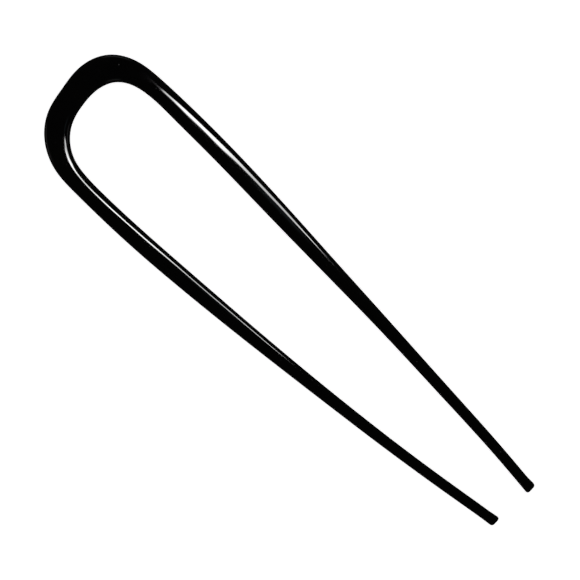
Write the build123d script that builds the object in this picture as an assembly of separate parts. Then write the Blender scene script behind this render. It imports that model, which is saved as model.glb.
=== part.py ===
from build123d import *
import os
from collections import namedtuple

# A one-piece U-shaped hair pin. It lies flat on Z = 0 with its crown towards +Y
# and its two tips towards -Y, and the legs close in a little on the way down.

# Driving dimensions, in millimetres
pin_length = 120.0       # top of the crown to the end of the longer leg
pin_width = 27.85        # outside to outside across the shoulders
crown_height = 20.0      # top of the crown down to the heads of the legs
crown_band = 5.65        # widest stretch of the crown, seen from above
right_band = 4.0         # width of the +X leg at its head
left_band = 3.7          # width of the -X leg at its head
right_tip_band = 2.1     # width of the +X leg at its narrowest
left_tip_band = 2.03     # width of the -X leg at its narrowest
right_tip_out = 4.83     # middle of the +X tip, out from the middle of the pin
left_tip_out = 4.58      # middle of the -X tip, out from the middle of the pin
left_tip_short = 0.69    # how far the -X leg stops short of the +X one
crown_depth = 3.4        # thickness of the crown and the shoulders
tip_depth = 2.3          # thickness at the tips
edge_round = 1.5         # radius of the long edges at full thickness
end_round = 0.42         # radius round each cut end
rest_cut = 0.05          # taken off the underside, for a flat strip to lie on
round_limit = 0.48       # largest share of a section's side that its corner takes

# Each leg, from its head (down = 0) past its tip (down = 1), where it is cut off.
#   down       share of the leg's length
#   right_out  +X leg: share of the way from its tip's line out to its shoulder's
#   left_out   the same for the -X leg
#   band       share of the way from the tip's width up to the head's
#   depth      share of the way from the tip's thickness up to the crown's
LegRow = namedtuple("LegRow", "down right_out left_out band depth")
LEG_ROWS = [
    LegRow(0.00, 0.99, 0.99, 1.00, 1.00),
    LegRow(0.10, 0.95, 0.99, 1.03, 0.97),
    LegRow(0.24, 0.83, 0.92, 0.94, 0.90),
    LegRow(0.41, 0.68, 0.79, 0.60, 0.72),
    LegRow(0.58, 0.52, 0.61, 0.27, 0.51),
    LegRow(0.75, 0.33, 0.41, 0.10, 0.30),
    LegRow(0.90, 0.15, 0.17, 0.02, 0.12),
    LegRow(1.02, -0.03, -0.03, 0.05, 0.00),
]

# The crown, from the +X shoulder over to the -X one, all at full thickness.
#   out    share of the way from the middle of the pin out to the shoulder's line
#   rise   share of the way from the legs' heads up to the crown's top
#   band   share of the way from the leg's width up to the crown's
CrownRow = namedtuple("CrownRow", "out rise band")
CROWN_ROWS = [
    CrownRow(0.99, 0.41, 0.00),
    CrownRow(0.89, 0.71, 0.55),
    CrownRow(0.70, 0.89, 0.90),
    CrownRow(0.35, 1.00, 0.90),
    CrownRow(-0.04, 0.99, 0.75),
    CrownRow(-0.41, 0.92, 0.75),
    CrownRow(-0.72, 0.76, 0.60),
    CrownRow(-0.91, 0.53, 0.30),
    CrownRow(-0.98, 0.26, 0.05),
]

# One side of the pin: which way it lies from the middle, and its own sizes
Side = namedtuple("Side", "way band tip_band tip_out tip_y")
RIGHT = Side(1, right_band, right_tip_band, right_tip_out, -pin_length / 2)
LEFT = Side(-1, left_band, left_tip_band, left_tip_out, -pin_length / 2 + left_tip_short)

# One cross-section: its centre seen from above, its width and its thickness
Station = namedtuple("Station", "x y band depth")

heads_y = pin_length / 2 - crown_height
arch_y = pin_length / 2 - crown_band / 2


def between(low, high, share):
    return low + (high - low) * share


def shoulder_out(side):
    return (pin_width - side.band) / 2


def leg_stations(side):
    """Stations of one leg, from its head down past its tip."""
    stations = []
    for row in LEG_ROWS:
        out_share = row.right_out if side is RIGHT else row.left_out
        stations.append(Station(
            side.way * between(side.tip_out, shoulder_out(side), out_share),
            between(heads_y, side.tip_y, row.down),
            between(side.tip_band, side.band, row.band),
            between(tip_depth, crown_depth, row.depth)))
    return stations


def crown_stations():
    """Stations of the crown, from the +X shoulder over to the -X one."""
    stations = []
    for row in CROWN_ROWS:
        side = RIGHT if row.out > 0 else LEFT
        stations.append(Station(
            shoulder_out(side) * row.out,
            between(heads_y, arch_y, row.rise),
            between(side.band, crown_band, row.band),
            crown_depth))
    return stations


def cross_section(station, heading):
    """A rounded rectangle that stands upright and square to the heading."""
    across = Vector(-heading.Y, heading.X, 0)
    plane = Plane(origin=(station.x, station.y, -rest_cut), x_dir=across, z_dir=heading)
    height = station.depth + rest_cut
    radius = min(
        edge_round * station.depth / crown_depth, round_limit * station.band, round_limit * height)
    outline = RectangleRounded(
        station.band, height, radius, align=(Align.CENTER, Align.MIN))
    return plane * outline


def cut_square(bar, side):
    """Cut one leg off square to the pin's length, and round the cut end."""
    waste = Box(pin_width, pin_length, 3 * crown_depth, align=(Align.CENTER, Align.MAX, Align.CENTER))
    bar = bar - Pos(side.way * pin_width / 2, side.tip_y, 0) * waste
    tip = (side.way * side.tip_out, side.tip_y, tip_depth / 2)
    cut_face = bar.faces().filter_by(Axis.Y).sort_by_distance(tip)[0]
    return fillet(cut_face.edges(), end_round)


def make_hair_pin():
    stations = leg_stations(RIGHT)[::-1] + crown_stations() + leg_stations(LEFT)
    centreline = Spline([(s.x, s.y) for s in stations])
    bar = loft([cross_section(s, centreline.tangent_at(Vector(s.x, s.y))) for s in stations])

    # The underside is cut level, so the pin lies on a flat strip
    bar = bar - Box(
        2 * pin_width, 2 * pin_length, crown_depth, align=(Align.CENTER, Align.CENTER, Align.MAX))
    return cut_square(cut_square(bar, RIGHT), LEFT)


os.makedirs("parts", exist_ok=True)
export_step(make_hair_pin(), "parts/hair_pin.step")
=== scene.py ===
# A one-piece U-shaped hair pin in polished black plastic, lying flat on a pale floor.
# Its crown is towards +Y and its two tips towards -Y. Lengths are in metres, apart from
# the rows of the cards that hang above it, which are in millimetres.

import math
from collections import namedtuple

import bmesh
import bpy
import numpy as np
from mathutils import Matrix, Vector, noise


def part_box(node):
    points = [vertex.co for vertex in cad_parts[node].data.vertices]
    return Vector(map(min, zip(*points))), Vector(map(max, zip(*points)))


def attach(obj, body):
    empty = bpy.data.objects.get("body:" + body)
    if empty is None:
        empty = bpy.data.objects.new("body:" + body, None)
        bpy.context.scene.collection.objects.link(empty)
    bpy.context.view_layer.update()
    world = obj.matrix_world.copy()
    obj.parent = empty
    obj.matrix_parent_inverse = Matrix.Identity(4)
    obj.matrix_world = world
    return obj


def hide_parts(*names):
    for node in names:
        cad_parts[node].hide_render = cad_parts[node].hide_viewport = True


bl_info = {
    "name": "Black Hair Pin",
    "version": (1, 0, 0),
    "blender": (4, 5, 0),
    "location": "3D View > Sidebar > Hair Pin",
    "description": "Models a polished one-piece hair pin around its packed frame, with its stage",
    "category": "Add Mesh",
}

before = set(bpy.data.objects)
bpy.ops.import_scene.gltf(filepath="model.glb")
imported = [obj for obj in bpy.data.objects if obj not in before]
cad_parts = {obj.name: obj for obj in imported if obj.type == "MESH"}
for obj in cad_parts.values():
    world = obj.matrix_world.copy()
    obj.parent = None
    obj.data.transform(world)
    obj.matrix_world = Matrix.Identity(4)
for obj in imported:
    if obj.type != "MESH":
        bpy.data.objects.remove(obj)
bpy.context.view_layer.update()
pin_low, pin_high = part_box("hair_pin")

MM = 0.001

# Each leg, from its head (down = 0) past its tip (down = 1).
#   down        share of the leg's length
#   right_out   +X leg: share of the way from its tip's line out to its shoulder's
#   left_out    the same for the -X leg
#   band        share of the way from the tip's width up to the head's
#   depth       share of the way from the tip's thickness up to the crown's
#   right_lean  degrees that the +X leg's top leans outwards
#   left_lean   the same for the -X leg
LegRow = namedtuple("LegRow", "down right_out left_out band depth right_lean left_lean")
LEG_ROWS = [
    LegRow(0.00, 0.99, 0.99, 1.00, 1.00, 1, -3),
    LegRow(0.10, 0.95, 0.99, 1.03, 0.97, 3, -1),
    LegRow(0.24, 0.84, 0.92, 0.94, 0.90, 0, 0),
    LegRow(0.41, 0.68, 0.79, 0.60, 0.72, 0, 0),
    LegRow(0.58, 0.52, 0.62, 0.27, 0.51, 0, 0),
    LegRow(0.75, 0.33, 0.41, 0.10, 0.30, 0, 0),
    LegRow(0.90, 0.15, 0.17, 0.02, 0.12, 0, 0),
    LegRow(0.98, 0.02, 0.03, 0.00, 0.02, 0, 0),
    LegRow(1.02, -0.05, -0.03, 0.00, 0.00, 0, 0),
]

# The crown, from the +X shoulder over to the -X one, all at full thickness.
#   out    share of the way from the middle of the pin out to the shoulder's line
#   rise   share of the way from the legs' heads up to the crown's top
#   band   share of the way from the leg's width up to the crown's
#   lean   degrees that its top leans outwards
CrownRow = namedtuple("CrownRow", "out rise band lean")
CROWN_ROWS = [
    CrownRow(0.99, 0.41, 0.00, 0),
    CrownRow(0.90, 0.72, 0.50, 0),
    CrownRow(0.71, 0.90, 0.90, 0),
    CrownRow(0.35, 1.00, 0.90, 0),
    CrownRow(-0.04, 0.99, 0.70, 0),
    CrownRow(-0.42, 0.93, 0.75, 0),
    CrownRow(-0.73, 0.77, 0.60, 0),
    CrownRow(-0.92, 0.53, 0.30, 0),
    CrownRow(-0.98, 0.26, 0.05, -2),
]

# One side of the pin: which way it lies from the middle, its own sizes, and how far
# the last stretch of its tip flares out to the -X and the +X side
Side = namedtuple("Side", "way band tip_band tip_out tip_y flare_low flare_high")

# One place along the pin: its centre seen from above, its width and thickness, the
# fullness of its section and the lean of its top
Station = namedtuple("Station", "x y band depth fullness lean")

# The ring that is carried along the pin: its corners, and how far one step goes
RING_SIDES = 32
RING_STEP = 0.75 * MM

# A subdivided ring of straight sides ends up inside its corners, by this share
RING_SWELL = 6 / (4 + 2 * math.cos(math.tau / RING_SIDES))

# The last stretch of each leg, where its sections turn square to the pin's length
SQUARE_RUN = 6.0 * MM

# Each tip flares out a little: fully on the very last of the leg, and fading out over
# the run before that
FLARE_FULL = 0.7 * MM
FLARE_RUN = 1.5 * MM
RIGHT_FLARE_OUTER = 0.16 * MM
LEFT_FLARE_INNER = 0.10 * MM
LEFT_FLARE_OUTER = 0.02 * MM

# The segments that round each cut end
END_SEGMENTS = 3

# The dips that polishing leaves: the length of one along the pin, and the radius of the
# pin's section, counted in dips
WAVE_LENGTH = 9.0 * MM
WAVE_ROUND = 1.1

# The mean radius of the section, which sets the scale of the UV map round it
GIRTH_RADIUS = 1.7 * MM

# How often the search for a place on the line halves its stretch
HALVINGS = 50


class HairPinShape(bpy.types.PropertyGroup):
    """Sizes of the pin that a user would change."""

    length: bpy.props.FloatProperty(
        name="Length",
        description="Top of the crown to the end of the longer leg",
        default=pin_high.y - pin_low.y,
        unit="LENGTH",
    )
    width: bpy.props.FloatProperty(
        name="Width",
        description="Outside to outside across the shoulders",
        default=pin_high.x - pin_low.x,
        unit="LENGTH",
    )
    depth: bpy.props.FloatProperty(
        name="Thickness",
        description="Thickness of the crown and the shoulders",
        default=pin_high.z - pin_low.z,
        unit="LENGTH",
    )
    tip_depth: bpy.props.FloatProperty(
        name="Tip Thickness",
        description="Thickness at the two tips",
        default=2.3 * MM,
        unit="LENGTH",
    )
    crown_height: bpy.props.FloatProperty(
        name="Crown Height",
        description="Top of the crown down to the heads of the legs",
        default=20.0 * MM,
        unit="LENGTH",
    )
    crown_band: bpy.props.FloatProperty(
        name="Crown Width",
        description="Widest stretch of the crown, seen from above",
        default=5.65 * MM,
        unit="LENGTH",
    )
    right_band: bpy.props.FloatProperty(
        name="Right Leg Width",
        description="Width of the +X leg at its head",
        default=4.0 * MM,
        unit="LENGTH",
    )
    left_band: bpy.props.FloatProperty(
        name="Left Leg Width",
        description="Width of the -X leg at its head",
        default=3.7 * MM,
        unit="LENGTH",
    )
    right_tip_band: bpy.props.FloatProperty(
        name="Right Tip Width",
        description="Width of the +X leg at its narrowest",
        default=2.07 * MM,
        unit="LENGTH",
    )
    left_tip_band: bpy.props.FloatProperty(
        name="Left Tip Width",
        description="Width of the -X leg at its narrowest",
        default=2.04 * MM,
        unit="LENGTH",
    )
    right_tip_out: bpy.props.FloatProperty(
        name="Right Tip Offset",
        description="Middle of the +X tip, out from the middle of the pin",
        default=4.83 * MM,
        unit="LENGTH",
    )
    left_tip_out: bpy.props.FloatProperty(
        name="Left Tip Offset",
        description="Middle of the -X tip, out from the middle of the pin",
        default=4.58 * MM,
        unit="LENGTH",
    )
    left_tip_short: bpy.props.FloatProperty(
        name="Left Tip Shortfall",
        description="How far the -X leg stops short of the +X one",
        default=0.69 * MM,
        unit="LENGTH",
    )
    end_round: bpy.props.FloatProperty(
        name="End Rounding",
        description="Radius round each cut end",
        default=0.46 * MM,
        unit="LENGTH",
    )
    rest_cut: bpy.props.FloatProperty(
        name="Rest Flat",
        description="Taken off the underside, for a flat strip to lie on",
        default=0.05 * MM,
        unit="LENGTH",
    )
    fullness: bpy.props.FloatProperty(
        name="Section Fullness",
        description="2 gives an oval section, and more a squarer one",
        default=3.0,
        min=2.0,
        max=6.0,
    )
    tip_fullness: bpy.props.FloatProperty(
        name="Tip Fullness",
        description="The same at the two tips",
        default=2.8,
        min=2.0,
        max=6.0,
    )
    waviness: bpy.props.FloatProperty(
        name="Hand Polish Waviness",
        description="How far hand polishing leaves the surface off true",
        default=0.006 * MM,
        unit="LENGTH",
        precision=6,
    )


class HairPinLook(bpy.types.PropertyGroup):
    """Colours and finish of the pin that a user would change."""

    colour: bpy.props.FloatVectorProperty(
        name="Colour",
        description="Colour of the polished plastic",
        default=(0.0022, 0.0022, 0.0024),
        subtype="COLOR",
        min=0.0,
        max=1.0,
    )
    haze: bpy.props.FloatVectorProperty(
        name="Haze Colour",
        description="Colour where the polish is a little dull",
        default=(0.0050, 0.0048, 0.0045),
        subtype="COLOR",
        min=0.0,
        max=1.0,
    )
    dust: bpy.props.FloatVectorProperty(
        name="Dust Colour",
        description="Colour of the few specks of dust",
        default=(0.10, 0.10, 0.10),
        subtype="COLOR",
        min=0.0,
        max=1.0,
    )
    smooth_roughness: bpy.props.FloatProperty(
        name="Polished Roughness",
        description="Roughness where the polish is best",
        default=0.04,
        min=0.0,
        max=1.0,
        subtype="FACTOR",
    )
    smudged_roughness: bpy.props.FloatProperty(
        name="Smudged Roughness",
        description="Roughness where the surface has been touched",
        default=0.09,
        min=0.0,
        max=1.0,
        subtype="FACTOR",
    )
    line_depth: bpy.props.FloatProperty(
        name="Polishing Line Depth",
        description="Depth of the fine lines that polishing leaves along the pin",
        default=0.0001 * MM,
        unit="LENGTH",
        precision=6,
    )


def between(low, high, share):
    return low + (high - low) * share


def both_sides(shape):
    """The +X side and the -X side of the pin."""
    tip_y = pin_low.y
    right = Side(
        1, shape.right_band, shape.right_tip_band, shape.right_tip_out, tip_y, 0.0,
        RIGHT_FLARE_OUTER)
    left = Side(
        -1, shape.left_band, shape.left_tip_band, shape.left_tip_out,
        tip_y + shape.left_tip_short, LEFT_FLARE_OUTER, LEFT_FLARE_INNER)
    return right, left


def shoulder_out(shape, side):
    return (shape.width - side.band) / 2


def leg_stations(shape, side):
    """Stations of one leg, from its head down past its tip."""
    heads_y = pin_low.y + shape.length - shape.crown_height
    stations = []
    for row in LEG_ROWS:
        out_share = row.right_out if side.way > 0 else row.left_out
        stations.append(Station(
            side.way * between(side.tip_out, shoulder_out(shape, side), out_share),
            between(heads_y, side.tip_y, row.down),
            between(side.tip_band, side.band, row.band),
            between(shape.tip_depth, shape.depth, row.depth),
            between(shape.fullness, shape.tip_fullness, row.down),
            math.radians(row.right_lean if side.way > 0 else row.left_lean)))
    return stations


def crown_stations(shape, right, left):
    """Stations of the crown, from the +X shoulder over to the -X one."""
    heads_y = pin_low.y + shape.length - shape.crown_height
    arch_y = pin_low.y + shape.length - shape.crown_band / 2
    stations = []
    for row in CROWN_ROWS:
        side = right if row.out > 0 else left
        stations.append(Station(
            shoulder_out(shape, side) * row.out,
            between(heads_y, arch_y, row.rise),
            between(side.band, shape.crown_band, row.band),
            shape.depth,
            shape.fullness,
            math.radians(row.lean)))
    return stations


class SmoothLine:
    """A smooth line through stations, its bend changing evenly from each to the next."""

    def __init__(self, stations):
        rows = np.array(stations)
        runs = np.hypot(*np.diff(rows[:, :2], axis=0).T)
        knots = np.concatenate([[0.0], np.cumsum(runs)])
        count = len(knots)
        # Second derivatives at the knots, nil at the two ends
        system = np.identity(count)
        target = np.zeros_like(rows)
        for i in range(1, count - 1):
            before, after = runs[i - 1], runs[i]
            system[i, i - 1:i + 2] = before, 2 * (before + after), after
            target[i] = 6 * ((rows[i + 1] - rows[i]) / after - (rows[i] - rows[i - 1]) / before)
        self.knots = knots
        self.rows = rows
        self.bends = np.linalg.solve(system, target)

    def _span(self, along):
        """The stretch that a place is on: its number, its run and the share of each end."""
        i = int(np.clip(np.searchsorted(self.knots, along) - 1, 0, len(self.knots) - 2))
        run = self.knots[i + 1] - self.knots[i]
        return i, run, (self.knots[i + 1] - along) / run, (along - self.knots[i]) / run

    def station(self, along):
        i, run, a, b = self._span(along)
        curved = ((a ** 3 - a) * self.bends[i] + (b ** 3 - b) * self.bends[i + 1]) * run ** 2 / 6
        return Station(*(a * self.rows[i] + b * self.rows[i + 1] + curved))

    def heading(self, along):
        i, run, a, b = self._span(along)
        slope = (self.rows[i + 1] - self.rows[i]) / run
        slope = slope + run / 6 * (
            (3 * b ** 2 - 1) * self.bends[i + 1] - (3 * a ** 2 - 1) * self.bends[i])
        return Vector((slope[0], slope[1], 0)).normalized()

    def along_at_y(self, y, low, high):
        """How far along the line its y is the one given, looked for between low and high."""
        rising = self.station(high).y > self.station(low).y
        for _ in range(HALVINGS):
            middle = (low + high) / 2
            if (self.station(middle).y < y) == rising:
                low = middle
            else:
                high = middle
        return (low + high) / 2


def smooth_step(share):
    share = min(max(share, 0.0), 1.0)
    return share * share * (3 - 2 * share)


def section_corner(turn, fullness):
    """A corner of the section, from -1 to 1 each way. A turn of nil is on the pin's outside."""
    power = 2 / fullness
    across, up = math.cos(turn), math.sin(turn)
    return Vector((
        math.copysign(abs(across) ** power, across), math.copysign(abs(up) ** power, up), 0))


def section_place(shape, line, along, ends):
    """The matrix that puts a section of 2 by 2 at its place along the pin."""
    station = line.station(along)
    heading = line.heading(along)
    centre_x = station.x
    band = station.band
    for end, square, side in ends:
        gap = abs(along - end)
        heading = heading.lerp(square, 1 - smooth_step(gap / SQUARE_RUN))
        flare = 1 - smooth_step((gap - FLARE_FULL) / FLARE_RUN)
        centre_x += (side.flare_high - side.flare_low) * flare / 2
        band += (side.flare_high + side.flare_low) * flare
    heading.normalize()
    across = Vector((heading.y, -heading.x, -math.tan(station.lean)))
    up = Vector((0, 0, (station.depth + shape.rest_cut) / 2))
    centre = Vector((centre_x, station.y, (station.depth - shape.rest_cut) / 2))
    place = Matrix.Identity(4)
    columns = (across * (band / 2 * RING_SWELL), up, heading * MM, centre)
    for column, way in enumerate(columns):
        for row in range(3):
            place[row][column] = way[row]
    return place


def carry_ring(bm, shape, line, ends):
    """Carry one ring along the line, and return the first and the last ring's edges."""
    turn_layer = bm.verts.layers.float.new("turn")
    along_layer = bm.verts.layers.float.new("along")
    start, stop = ends[0][0], ends[1][0]
    bmesh.ops.create_circle(bm, segments=RING_SIDES, radius=1.0)
    verts, edges = bm.verts[:], bm.edges[:]
    first = edges
    for vert in verts:
        vert[turn_layer] = math.atan2(vert.co.y, vert.co.x)
    steps = round((stop - start) / RING_STEP)
    for step in range(steps + 1):
        along = between(start, stop, step / steps)
        if step:
            made = bmesh.ops.extrude_edge_only(bm, edges=edges)["geom"]
            verts = [item for item in made if isinstance(item, bmesh.types.BMVert)]
            edges = [item for item in made if isinstance(item, bmesh.types.BMEdge)]
        fullness = line.station(along).fullness
        for vert in verts:
            vert[along_layer] = along
            vert.co = section_corner(vert[turn_layer], fullness)
        bmesh.ops.transform(bm, matrix=section_place(shape, line, along, ends), verts=verts)
    return first, edges


def polish_by_hand(bm, depth):
    """Push the surface a little in and out, as hand polishing leaves it."""
    turn_layer = bm.verts.layers.float["turn"]
    along_layer = bm.verts.layers.float["along"]
    bm.normal_update()
    for vert in bm.verts:
        turn, along = vert[turn_layer], vert[along_layer]
        spot = Vector((
            WAVE_ROUND * math.cos(turn), WAVE_ROUND * math.sin(turn), along / WAVE_LENGTH))
        vert.co += vert.normal * (depth * noise.noise(spot))


def lay_out_lengthwise(bm):
    """A UV map in metres, round the section and along the pin, its seam underneath."""
    turn_layer = bm.verts.layers.float["turn"]
    along_layer = bm.verts.layers.float["along"]
    uv_layer = bm.loops.layers.uv.new("lengthwise")
    for face in bm.faces:
        turns = [(loop.vert[turn_layer] + math.pi / 2) % math.tau for loop in face.loops]
        over_seam = max(turns) - min(turns) > math.pi
        for loop, turn in zip(face.loops, turns):
            if over_seam and turn < math.pi:
                turn += math.tau
            loop[uv_layer].uv = (turn * GIRTH_RADIUS, loop.vert[along_layer])


def make_pin_mesh(shape):
    """The whole pin: one ring carried along its line, closed and rounded at both ends."""
    right, left = both_sides(shape)
    stations = leg_stations(shape, right)[::-1]
    stations += crown_stations(shape, right, left)
    stations += leg_stations(shape, left)
    line = SmoothLine(stations)
    half = line.knots[-1] / 2
    # Each cut end: how far along the line it is, the way that is square to it, its side
    ends = (
        (line.along_at_y(right.tip_y, line.knots[0], half), Vector((0, 1, 0)), right),
        (line.along_at_y(left.tip_y, half, line.knots[-1]), Vector((0, -1, 0)), left))

    bm = bmesh.new()
    rims = carry_ring(bm, shape, line, ends)
    polish_by_hand(bm, shape.waviness)
    for rim in rims:
        bmesh.ops.holes_fill(bm, edges=rim)
        bmesh.ops.bevel(
            bm, geom=rim, offset=shape.end_round, segments=END_SEGMENTS, profile=0.5,
            affect="EDGES", material=-1)
    # It rests on its underside, and its top comes up to its full thickness
    for vert in bm.verts:
        vert.co.z = max(vert.co.z, 0.0)
    top = max(vert.co.z for vert in bm.verts)
    bmesh.ops.scale(bm, vec=(1, 1, shape.depth / top), verts=bm.verts)
    lay_out_lengthwise(bm)
    bmesh.ops.recalc_face_normals(bm, faces=bm.faces)
    for face in bm.faces:
        face.smooth = True
    mesh = bpy.data.meshes.new("polished_pin")
    bm.to_mesh(mesh)
    bm.free()
    return mesh


def subdivide(piece, levels):
    smooth = piece.modifiers.new("Subdivision", "SUBSURF")
    smooth.levels = levels
    smooth.render_levels = levels


class HAIRPIN_OT_pin(bpy.types.Operator):
    """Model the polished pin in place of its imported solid"""

    bl_idname = "hairpin.pin"
    bl_label = "Polished Pin"

    def execute(self, context):
        shape = context.scene.hair_pin_shape
        pin = bpy.data.objects.new("polished_pin", make_pin_mesh(shape))
        context.scene.collection.objects.link(pin)
        subdivide(pin, 1)
        pin.data.materials.append(black_gloss())
        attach(pin, "root")
        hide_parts("hair_pin")
        return {"FINISHED"}


PLASTIC_IOR = 1.5

# How fine each pattern is, in cells to a metre: the polishing lines round the section
# and along the pin, the smudges, and the specks of dust
LINE_CELLS = (9000, 160, 1)
LINE_DETAIL = 3.0
SMUDGE_CELLS = 140.0
SMUDGE_DETAIL = 4.0
SMUDGE_DISTORTION = 0.6
SPECK_CELLS = 300.0

# The part of the smudges' range over which the polish goes from its best to its worst
SMUDGE_SPREAD = (0.3, 0.7)

# The distances from a speck's middle over which it fades out, in cells, and how much it
# covers in its middle
SPECK_FADE = (0.02, 0.05)
SPECK_COVER = 0.4

# A larger speck on top of the crown, and the distances over which it fades out
CROWN_SPECK = (10.2 * MM, 54.5 * MM, 3.38 * MM)
CROWN_SPECK_FADE = (0.08 * MM, 0.15 * MM)


def principled_material(name):
    """A new material, with its nodes, its links and its Principled shader."""
    material = bpy.data.materials.new(name)
    material.use_nodes = True
    nodes = material.node_tree.nodes
    return material, nodes, material.node_tree.links, nodes["Principled BSDF"]


def set_sockets(node, values):
    for name, value in values.items():
        node.inputs[name].default_value = value


def map_range(nodes, spread, low, high):
    """A node that takes the start of a spread to one value and its end to another."""
    node = nodes.new("ShaderNodeMapRange")
    set_sockets(node, {
        "From Min": spread[0], "From Max": spread[1], "To Min": low, "To Max": high})
    return node


def hand_polish_group():
    """Fine polishing lines along the pin, soft smudges and specks of dust."""
    group = bpy.data.node_groups.new("hand_polish", "ShaderNodeTree")
    for name in ("Lengthwise", "Place"):
        group.interface.new_socket(name, in_out="INPUT", socket_type="NodeSocketVector")
    for name in ("Lines", "Smudges", "Specks"):
        group.interface.new_socket(name, in_out="OUTPUT", socket_type="NodeSocketFloat")
    nodes, links = group.nodes, group.links
    entry = nodes.new("NodeGroupInput")
    leave = nodes.new("NodeGroupOutput")

    stretch = nodes.new("ShaderNodeVectorMath")
    stretch.operation = "MULTIPLY"
    stretch.inputs[1].default_value = LINE_CELLS
    links.new(entry.outputs["Lengthwise"], stretch.inputs[0])
    lines = nodes.new("ShaderNodeTexNoise")
    lines.noise_dimensions = "2D"
    set_sockets(lines, {"Scale": 1.0, "Detail": LINE_DETAIL})
    links.new(stretch.outputs["Vector"], lines.inputs["Vector"])
    links.new(lines.outputs["Fac"], leave.inputs["Lines"])

    smudges = nodes.new("ShaderNodeTexNoise")
    set_sockets(smudges, {
        "Scale": SMUDGE_CELLS, "Detail": SMUDGE_DETAIL, "Distortion": SMUDGE_DISTORTION})
    links.new(entry.outputs["Place"], smudges.inputs["Vector"])
    links.new(smudges.outputs["Fac"], leave.inputs["Smudges"])

    dots = nodes.new("ShaderNodeTexVoronoi")
    set_sockets(dots, {"Scale": SPECK_CELLS})
    links.new(entry.outputs["Place"], dots.inputs["Vector"])
    dot = map_range(nodes, SPECK_FADE, SPECK_COVER, 0.0)
    links.new(dots.outputs["Distance"], dot.inputs["Value"])
    gap = nodes.new("ShaderNodeVectorMath")
    gap.operation = "DISTANCE"
    gap.inputs[1].default_value = CROWN_SPECK
    links.new(entry.outputs["Place"], gap.inputs[0])
    crown_dot = map_range(nodes, CROWN_SPECK_FADE, 1.0, 0.0)
    links.new(gap.outputs["Value"], crown_dot.inputs["Value"])
    both = nodes.new("ShaderNodeMath")
    both.operation = "MAXIMUM"
    links.new(dot.outputs["Result"], both.inputs[0])
    links.new(crown_dot.outputs["Result"], both.inputs[1])
    links.new(both.outputs["Value"], leave.inputs["Specks"])
    return group


def black_gloss():
    """Polished black plastic: near black, with faint smudges, polishing lines and dust."""
    look = bpy.context.scene.hair_pin_look
    material, nodes, links, shader = principled_material("black_gloss")
    set_sockets(shader, {"IOR": PLASTIC_IOR})

    lengthwise = nodes.new("ShaderNodeUVMap")
    lengthwise.uv_map = "lengthwise"
    place = nodes.new("ShaderNodeTexCoord")
    polish = nodes.new("ShaderNodeGroup")
    polish.node_tree = hand_polish_group()
    links.new(lengthwise.outputs["UV"], polish.inputs["Lengthwise"])
    links.new(place.outputs["Object"], polish.inputs["Place"])

    tint = nodes.new("ShaderNodeMix")
    tint.data_type = "RGBA"
    set_sockets(tint, {"A": (*look.colour, 1), "B": (*look.haze, 1)})
    links.new(polish.outputs["Smudges"], tint.inputs["Factor"])
    dusty = nodes.new("ShaderNodeMix")
    dusty.data_type = "RGBA"
    set_sockets(dusty, {"B": (*look.dust, 1)})
    links.new(polish.outputs["Specks"], dusty.inputs["Factor"])
    links.new(tint.outputs["Result"], dusty.inputs["A"])
    links.new(dusty.outputs["Result"], shader.inputs["Base Color"])

    gloss = map_range(nodes, SMUDGE_SPREAD, look.smooth_roughness, look.smudged_roughness)
    links.new(polish.outputs["Smudges"], gloss.inputs["Value"])
    links.new(gloss.outputs["Result"], shader.inputs["Roughness"])

    bump = nodes.new("ShaderNodeBump")
    set_sockets(bump, {"Strength": 1.0, "Distance": look.line_depth})
    links.new(polish.outputs["Lines"], bump.inputs["Height"])
    links.new(bump.outputs["Normal"], shader.inputs["Normal"])
    return material


# How the photograph was taken: straight down and turned about the vertical. The scale
# is the length that one of its pixels covers at the height of the centre.
VIEW_SCALE = 0.1938 * MM
VIEW_PIXELS = 580
VIEW_TURN = math.radians(-46.87)
VIEW_CENTRE = Vector((1.03 * MM, 0.64 * MM, 1.7 * MM))
LENS = 135.0
SENSOR = 36.0
CLIP_NEAR = 10 * MM
CLIP_FAR = 5.0

# The floor, and the even light all round, which gloss doesn't show
FLOOR_HALF = 1.5
FLOOR_COLOUR = (0.8, 0.8, 0.8)
FLOOR_ROUGHNESS = 0.9
FLOOR_GLOW = 0.92
WORLD_GLOW = 0.25

# Columns and rows of faces in a card that hangs above the pin
HUNG_GRID = (24, 72)

# A row of a hung card: its middle and half width at that y, in mm, and how bright the
# light is there, or how dense the flag is
CardRow = namedtuple("CardRow", "y x half_width strength")

# The long soft light, from its head end to its tip end
LIGHT_HEIGHT = 100 * MM
LONG_SOFTNESS = 6 * MM
LONG_ROWS = [
    CardRow(60, 28, 2, 0),
    CardRow(56, 28, 5, 1),
    CardRow(55, 29, 6, 14),
    CardRow(52, 32, 7, 16),
    CardRow(50, 37, 11, 23),
    CardRow(46, 42, 15, 28),
    CardRow(40, 50, 16, 27),
    CardRow(34, 60, 26, 25),
    CardRow(29, 69, 26, 19),
    CardRow(24, 68, 24, 14),
    CardRow(16, 68, 26, 12),
    CardRow(6, 78, 28, 12),
    CardRow(-5, 77, 9, 20),
    CardRow(-9, 77, 2, 0),
]

# A dim bluish glow beside it
SIDE_SOFTNESS = 16 * MM
SIDE_TINT = (0.75, 1.0, 1.1)
SIDE_ROWS = [
    CardRow(26, 27, 6, 0),
    CardRow(19, 26, 8, 0.16),
    CardRow(8, 24, 8, 0.16),
    CardRow(0, 24, 6, 0),
]

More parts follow.
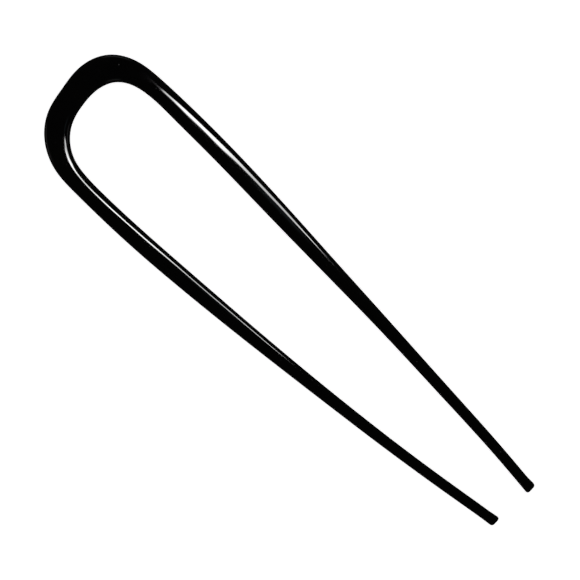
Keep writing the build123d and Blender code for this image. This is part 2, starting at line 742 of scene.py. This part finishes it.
# Two black cards hung between them and the pin: one shades the -X leg's lower half from
# the near side of the long light, and one the +X leg's upper half from its far side
FLAG_HEIGHT = 25 * MM
FLAG_SOFTNESS = 1.0 * MM
NEAR_FLAG_ROWS = [
    CardRow(27, 0, 2, 0),
    CardRow(21, 1, 3, 1),
    CardRow(12, 1, 3, 1),
    CardRow(0, 2.5, 4.5, 1),
    CardRow(-16, 4, 6, 0),
]
FAR_FLAG_ROWS = [
    CardRow(48, 21, 4, 0),
    CardRow(46, 22, 4, 1),
    CardRow(40, 26, 4, 1),
    CardRow(31, 32, 4, 1),
    CardRow(26, 34, 4, 0),
]

# Dim cards low down at the four corners, which only show in views from the side. Their
# edges fade out over a share of their half width.
CORNER_AZIMUTHS = (45, 135, 225, 315)
CORNER_DISTANCE = 0.9
CORNER_HALF_WIDTH = 0.3
CORNER_HEIGHTS = (0.04, 0.32)
CORNER_GLOW = 0.35
CORNER_SOFTNESS = 0.5
CORNER_GRID = (12, 12)

WHITE = (1, 1, 1)
BLACK = (0, 0, 0)


def place_camera(scene):
    camera = bpy.data.objects.new("camera", bpy.data.cameras.new("camera"))
    scene.collection.objects.link(camera)
    camera.data.lens = LENS
    camera.data.sensor_width = SENSOR
    distance = VIEW_PIXELS * VIEW_SCALE * LENS / SENSOR
    camera.location = VIEW_CENTRE + Vector((0, 0, distance))
    camera.rotation_euler = (0, 0, VIEW_TURN)
    camera.data.clip_start = CLIP_NEAR
    camera.data.clip_end = CLIP_FAR
    scene.camera = camera


def stage_sheet(name, material, grid=(1, 1)):
    """A flat sheet of 2 by 2 that belongs to the stage, as a bmesh to shape and its object."""
    bm = bmesh.new()
    bmesh.ops.create_grid(bm, x_segments=grid[0], y_segments=grid[1], size=1.0)
    sheet = bpy.data.objects.new(name, bpy.data.meshes.new(name))
    bpy.context.scene.collection.objects.link(sheet)
    sheet.data.materials.append(material)
    return bm, sheet


def lay_floor():
    bm, floor = stage_sheet("floor", pale_floor())
    bmesh.ops.scale(bm, vec=(FLOOR_HALF, FLOOR_HALF, 1), verts=bm.verts)
    bm.to_mesh(floor.data)
    bm.free()
    floor.visible_glossy = False


def hang_card(name, card_rows, height, softness, material):
    """A level card with soft edges above the pin, seen in reflections alone."""
    bm, card = stage_sheet(name, material, HUNG_GRID)
    strength_layer = bm.verts.layers.float.new("strength")
    rows = np.array(card_rows[::-1])
    for vert in bm.verts:
        y = between(rows[0, 0], rows[-1, 0], (vert.co.y + 1) / 2)
        x, half_width, strength = (np.interp(y, rows[:, 0], rows[:, i]) for i in (1, 2, 3))
        reach = half_width * MM + softness / 2
        rim = (1 - abs(vert.co.x)) * reach / softness
        vert[strength_layer] = strength * smooth_step(rim)
        vert.co = Vector((x * MM + vert.co.x * reach, y * MM, height))
    bm.to_mesh(card.data)
    bm.free()
    hide_but_in_gloss(card)


def stand_corner_cards():
    material = light_glow(WHITE)
    for azimuth in CORNER_AZIMUTHS:
        bm, card = stage_sheet("corner_light", material, CORNER_GRID)
        strength_layer = bm.verts.layers.float.new("strength")
        for vert in bm.verts:
            rim = min(1 - abs(vert.co.x), 1 - abs(vert.co.y)) / CORNER_SOFTNESS
            vert[strength_layer] = CORNER_GLOW * smooth_step(rim)
            height = between(*CORNER_HEIGHTS, (vert.co.y + 1) / 2)
            vert.co = Vector((vert.co.x * CORNER_HALF_WIDTH, CORNER_DISTANCE, height))
        turn = Matrix.Rotation(math.radians(azimuth - 90), 3, "Z")
        bmesh.ops.rotate(bm, matrix=turn, verts=bm.verts)
        bm.to_mesh(card.data)
        bm.free()
        hide_but_in_gloss(card)


def hide_but_in_gloss(card):
    """Let a card be seen in reflections alone."""
    card.visible_camera = False
    card.visible_diffuse = False
    card.visible_shadow = False


def card_material(name, socket):
    """A black card whose strength drives one socket of its shader."""
    material, nodes, links, shader = principled_material(name)
    material.cycles.emission_sampling = "NONE"
    set_sockets(shader, {"Base Color": (*BLACK, 1), "Specular IOR Level": 0.0})
    strength = nodes.new("ShaderNodeAttribute")
    strength.attribute_name = "strength"
    links.new(strength.outputs["Fac"], shader.inputs[socket])
    return material, shader


def light_glow(tint):
    material, shader = card_material("light_glow", "Emission Strength")
    set_sockets(shader, {"Emission Color": (*tint, 1)})
    return material


def flag_black():
    material, shader = card_material("flag_black", "Alpha")
    set_sockets(shader, {"Emission Strength": 0.0})
    return material


def pale_floor():
    material, _, _, shader = principled_material("pale_floor")
    set_sockets(shader, {
        "Base Color": (*FLOOR_COLOUR, 1), "Roughness": FLOOR_ROUGHNESS,
        "Emission Color": (*WHITE, 1), "Emission Strength": FLOOR_GLOW})
    return material


def light_evenly(scene):
    """A dim white world, which gloss doesn't show."""
    world = bpy.data.worlds.new("studio")
    scene.world = world
    world.use_nodes = True
    set_sockets(world.node_tree.nodes["Background"], {
        "Color": (*WHITE, 1), "Strength": WORLD_GLOW})
    world.cycles_visibility.glossy = False


class HAIRPIN_OT_stage(bpy.types.Operator):
    """Set out the floor, the lights and the camera"""

    bl_idname = "hairpin.stage"
    bl_label = "Stage"

    def execute(self, context):
        scene = context.scene
        scene.view_settings.view_transform = "Standard"
        place_camera(scene)
        lay_floor()
        hang_card("long_light", LONG_ROWS, LIGHT_HEIGHT, LONG_SOFTNESS, light_glow(WHITE))
        hang_card("side_light", SIDE_ROWS, LIGHT_HEIGHT, SIDE_SOFTNESS, light_glow(SIDE_TINT))
        hang_card("near_flag", NEAR_FLAG_ROWS, FLAG_HEIGHT, FLAG_SOFTNESS, flag_black())
        hang_card("far_flag", FAR_FLAG_ROWS, FLAG_HEIGHT, FLAG_SOFTNESS, flag_black())
        stand_corner_cards()
        light_evenly(scene)
        return {"FINISHED"}


class HAIRPIN_PT_panel(bpy.types.Panel):
    """Sizes of the pin and the steps that build it"""

    bl_idname = "HAIRPIN_PT_panel"
    bl_label = "Hair Pin"
    bl_space_type = "VIEW_3D"
    bl_region_type = "UI"
    bl_category = "Hair Pin"

    def draw(self, context):
        layout = self.layout
        for settings in (context.scene.hair_pin_shape, context.scene.hair_pin_look):
            for name in settings.bl_rna.properties.keys():
                if name not in {"rna_type", "name"}:
                    layout.prop(settings, name)
        layout.operator(HAIRPIN_OT_pin.bl_idname)
        layout.operator(HAIRPIN_OT_stage.bl_idname)


CLASSES = (HairPinShape, HairPinLook, HAIRPIN_OT_pin, HAIRPIN_OT_stage, HAIRPIN_PT_panel)


def register():
    for cls in CLASSES:
        bpy.utils.register_class(cls)
    bpy.types.Scene.hair_pin_shape = bpy.props.PointerProperty(type=HairPinShape)
    bpy.types.Scene.hair_pin_look = bpy.props.PointerProperty(type=HairPinLook)


def unregister():
    del bpy.types.Scene.hair_pin_look
    del bpy.types.Scene.hair_pin_shape
    for cls in reversed(CLASSES):
        bpy.utils.unregister_class(cls)


def main():
    register()
    bpy.ops.hairpin.pin()
    bpy.ops.hairpin.stage()


if __name__ == "__main__":
    main()
